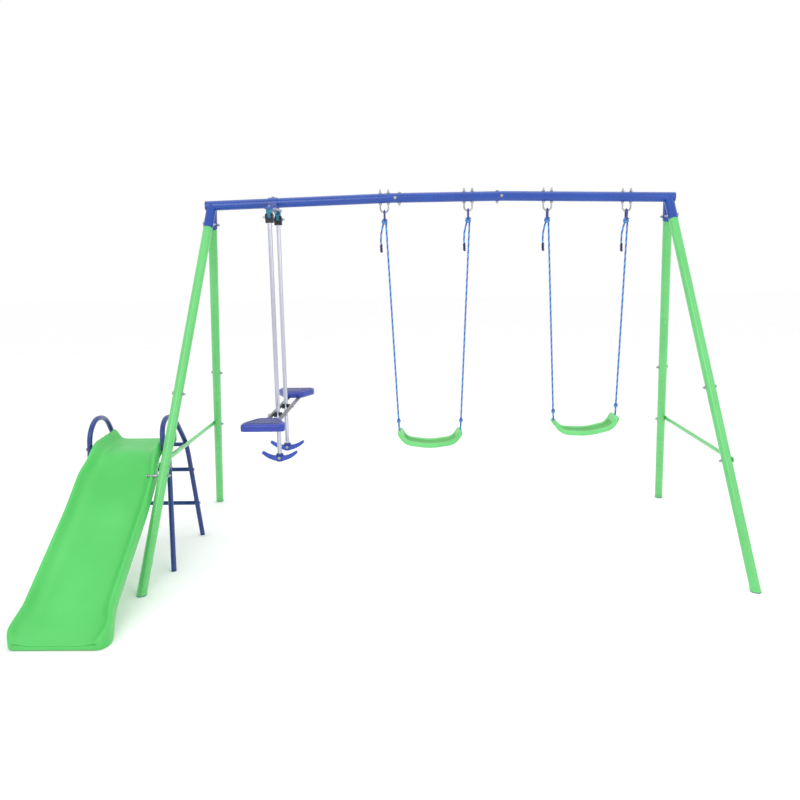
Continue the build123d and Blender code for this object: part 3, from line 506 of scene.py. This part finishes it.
def metres(points):
    return [at(*point) for point in points]


def swing_ropes(swing):
    name, left_x, right_x = swing[:3]
    body = f"swing_{name}"
    knot_lines = []
    for hand, x, tip in zip(("left", "right"), (left_x, right_x), seat_tips(swing)):
        centre = knot_centre(x)
        top = centre + Vector((rope_offset, 0, -knot_height / 2))
        run = (tip - top).normalized()
        bottom = tip + run * seat_hole
        held = 12 * rope_radius
        route = [at(*p) for p in (top, top + run * held, bottom - run * held, bottom)]
        line = resampled(spline_line(route), 0.003)
        rope = twisted(f"rope_{name}_{hand}", body, [line])
        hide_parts(f"swing_{name}_rope_{hand}")

        tail_top = centre + Vector((-rope_offset, 0, -knot_height / 2))
        route = [at(*(tail_top + Vector((dx, 0, dz)))) for dx, dz in tail_steps]
        line = resampled(spline_line(route), 0.0025)
        tail = twisted(f"tail_{name}_{hand}", body, [line])
        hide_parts(f"swing_{name}_tail_{hand}")

        last, end = [tail_top + Vector((dx, 0, dz)) for dx, dz in tail_steps[-2:]]
        run_down = (end - last).normalized()
        core = metres([end, end + run_down * (whip_length - 2)])
        core_corners, core_faces = tube_rings(resampled(core, 0.004), 0.0046, 10)
        core_shades = [0] * len(core_faces)
        wind = helix(end + run_down * whip_length / 2, run_down, Vector((0, 1, 0)), 5, whip_length - 8, 4.5)
        bead_line = resampled(metres(wind), 0.0012)
        beads, quads = bead_wind(bead_line)
        bead_faces = [tuple(k + len(core_corners) for k in quad) for quad in quads]
        sleeve_piece = piece(f"whipping_{name}_{hand}", body, core_corners + beads, core_faces + bead_faces,
                             [sleeve, rope_light], 0, core_shades + [0] * len(bead_faces))
        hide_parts(f"swing_{name}_whippings")

        wire = centre + Vector((0, 0, knot_height / 2 - rope_lead))
        along_x, along_y = Vector((1, 0, 0)), Vector((0, 1, 0))
        turn_over = helix(wire, along_y, along_x, 9.8, 11, 1.72, radians(60))
        wrap = helix(centre + Vector((0, 0, -5)), Vector((0.1, 0, 1)), along_x, (10, 8.5), 20, 3.1)
        knot_lines += [resampled(metres(turn_over), 0.002), resampled(metres(wrap), 0.002)]
        knot = tip - run * seat_knot_rise
        lean = run + Vector((0.5, 0.3, 0))
        for wind in (helix(knot, lean, along_y, 6.5, 14, 2.2),
                     helix(knot, Vector((1, 0.2, 0.3)), run, (9.5, 6.5), 4, 0.9)):
            knot_lines.append(resampled(metres(wind), 0.002))
    knots = twisted(f"knots_{name}", body, knot_lines)
    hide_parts(f"swing_{name}_knots")


def bead_wind(line):
    """A winding whose thickness swells and pinches, so that it reads as a row of beads."""
    sides, bead_pitch, step = 8, 0.0075, 0.0012
    corners, faces = tube_rings(line, 0.0029, sides)
    for k, place in enumerate(line):
        swell = 0.68 + 0.34 * sin(k * step / bead_pitch * 2 * pi) ** 2
        for j in range(sides):
            corner = corners[k * sides + j]
            corners[k * sides + j] = place + (corner - place) * swell
    return corners, faces


for swing in swings:
    swing_seat(swing)
    swing_ropes(swing)


# ---- glider ------------------------------------------------------------------------------
glider_x = -826
bar_height = 708
hang_y = 120
seat_outline = [(102, 85), (102, 30), (50, -85), (-50, -85), (-102, 30), (-102, 85)]
# rings of a glider seat: inset from the outline and height above the bars
seat_rings = [
    (22, 0.3), (8, 0.3), (2, 1.5), (0, 6), (0, 24), (1.5, 30), (5.5, 34.2), (11, 35.8), (16, 35),
    (18.5, 32.5), (20.5, 31.8), (22.5, 32.5), (25.5, 35), (30, 36), (40, 36),
]


def rounded_outline(points, inset, radius, steps=8):
    """A closed outline moved inwards by inset, with rounded corners, always as many points."""
    marks = [Vector(point) for point in points]
    count = len(marks)
    lines = []
    for k in range(count):
        a, b = marks[k], marks[(k + 1) % count]
        way = (b - a).normalized()
        inward = Vector((way.y, -way.x))
        lines.append((a + inward * inset, way))
    corners = []
    for k in range(count):
        (p, v), (q, w) = lines[k - 1], lines[k]
        cross = v.x * w.y - v.y * w.x
        share = ((q.x - p.x) * w.y - (q.y - p.y) * w.x) / cross
        corners.append(p + v * share)
    ring = []
    for k in range(count):
        corner = corners[k]
        back, on = (corners[k - 1] - corner), (corners[(k + 1) % count] - corner)
        half_turn = (pi - back.angle(on)) / 2
        reach = min(radius * tan(half_turn), 0.45 * back.length, 0.45 * on.length)
        start, end = corner + back.normalized() * reach, corner + on.normalized() * reach
        for j in range(steps + 1):
            share = j / steps
            ring.append(start.lerp(corner, share).lerp(corner.lerp(end, share), share))
    return ring


def glider_seat(face, name):
    corners = []
    for inset, height in seat_rings:
        radius = max(42 - inset * 0.6, 18)
        for spot in rounded_outline(seat_outline, inset, radius):
            corners.append(at(glider_x + spot.x, face * (455 + spot.y), bar_height + height))
    size = len(rounded_outline(seat_outline, 0, 20))
    faces = rings_to_faces(len(seat_rings), size)
    shades = [0 if k < size * 8 else 1 for k in range(len(faces))]
    last = size * (len(seat_rings) - 1)
    faces += [tuple(range(size - 1, -1, -1)), tuple(range(last, last + size))]
    shades += [0, 1]
    if face > 0:
        faces = [quad[::-1] for quad in faces]
    seat = piece(f"glider_pan_{name}", "glider_seats", corners, faces, [glider_rim, glider_top], 0, shades)
    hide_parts(f"glider_seat_{name}")


def footrest(face, name):
    """A winged rest with rounded tips and a round boss that grips the tube."""
    y = face * hang_y
    half, rise, dip, centre = 89, 30, 6, 486
    climb = rise + dip
    curve_radius = (half**2 + climb**2) / (2 * climb)
    half_section = [(0, 9), (9, 8.8), (14, 7.2), (16.8, 3)]
    ring = paired_ring([((u, v), (u, -v)) for u, v in half_section])
    shares = [-1, -0.975, -0.92, -0.8, -0.6, -0.4, -0.2, 0, 0.2, 0.4, 0.6, 0.8, 0.92, 0.975, 1]
    reach = atan2(half, curve_radius - climb)
    corners = []
    for share in shares:
        angle = reach * share
        way_up = Vector((-sin(angle), 0, cos(angle)))
        place = Vector((curve_radius * sin(angle), 0, curve_radius * (1 - cos(angle)) - dip))
        tip = sqrt(max(1 - (max(abs(share) - 0.9, 0) / 0.105) ** 2, 0.05))
        deep = (0.72 + 0.28 * (1 - abs(share))) * (0.55 + 0.45 * tip)
        thick = (1.7 - 0.85 * abs(share)) * (0.45 + 0.55 * tip)
        for u, v in ring:
            spot = place + way_up * v * thick
            corners.append(at(glider_x + spot.x, y + u * deep, centre + spot.z))
    faces = rings_to_faces(len(shares), len(ring))
    faces += end_faces(len(ring), 0, True) + end_faces(len(ring), len(ring) * (len(shares) - 1), False)
    wing = piece(f"footrest_wing_{name}", f"glider_{name}", corners, faces, [rest_plastic], 2)
    lower = [(11.4, -18), (11.4, -20), (16, -20), (18.2, -18.6), (19, -15)]
    profile = lower + [(radius, -height) for radius, height in reversed(lower)]
    sides = 40
    boss_corners = []
    for radius, height in profile:
        for k in range(sides):
            spoke = 2 * pi * k / sides
            round_x, round_y = radius * cos(spoke), radius * sin(spoke)
            boss_corners.append(at(glider_x + round_x, y + round_y, centre + height))
    boss = piece(f"footrest_boss_{name}", f"glider_{name}", boss_corners,
                 [quad[::-1] for quad in rings_to_faces(len(profile), sides)], [boss_plastic])
    for made in (wing, boss):
        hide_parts(f"glider_footrest_{name}")


for face, name in ((-1, "front"), (1, "rear")):
    glider_seat(face, name)
    footrest(face, name)


# ---- floor, light and camera -------------------------------------------------------------
def studio():
    scene = bpy.context.scene
    floor_material, principled = shader("floor", Roughness=0.9, Specular_IOR_Level=0.1)
    tree = floor_material.node_tree
    shades = ramp(tree, noise(tree, 3), linear(253, 253, 253), linear(255, 255, 255))
    tree.links.new(shades, principled.inputs["Base Color"])
    wide = 30
    mesh = bpy.data.meshes.new("floor")
    corners = [(-wide, -wide, 0), (wide, -wide, 0), (wide, wide, 0), (-wide, wide, 0)]
    mesh.from_pydata(corners, [], [(0, 1, 2, 3)])
    mesh.materials.append(floor_material)
    floor = bpy.data.objects.new("floor", mesh)
    scene.collection.objects.link(floor)

    world = bpy.data.worlds.new("studio")
    scene.world = world
    world.use_nodes = True
    world.node_tree.nodes["Background"].inputs["Color"].default_value = (1, 1, 1, 1)
    world.node_tree.nodes["Background"].inputs["Strength"].default_value = 1.0
    lamps = [
        ("key", (-1.6, -4.6, 3.4), 3.0, 60),
        ("fill", (3.6, -3.2, 2.6), 3.0, 25),
        ("top", (0.2, 0.6, 4.6), 4.0, 40),
    ]
    for name, place, size, power in lamps:
        light = bpy.data.lights.new(name, "AREA")
        light.size = size
        light.energy = power
        lamp = bpy.data.objects.new(name, light)
        lamp.location = place
        lamp.rotation_euler = (Vector((0.1, 0.1, 0.8)) - Vector(place)).to_track_quat("-Z", "Y").to_euler()
        scene.collection.objects.link(lamp)
    scene.view_settings.view_transform = "Standard"


def camera():
    """The camera stands in front of the set, a little right of the slide, and looks slightly down."""
    eye = at(-107.4, -4020.4, 1458.0)
    yaw, pitch, roll = -0.0250, -0.1730, 0.0165
    forward = Vector((sin(yaw) * cos(pitch), cos(yaw) * cos(pitch), sin(pitch)))
    right = Vector((cos(yaw), -sin(yaw), 0))
    down = forward.cross(right)
    across = right * cos(roll) + down * sin(roll)
    upward = right * sin(roll) - down * cos(roll)
    lens = bpy.data.cameras.new("camera")
    lens.sensor_width = 36
    lens.lens = 35.3
    lens.clip_end = 100
    holder = bpy.data.objects.new("camera", lens)
    turned = Matrix((across, upward, -forward)).transposed().to_4x4()
    holder.matrix_world = Matrix.Translation(eye) @ turned
    bpy.context.scene.collection.objects.link(holder)
    bpy.context.scene.camera = holder


studio()
camera()
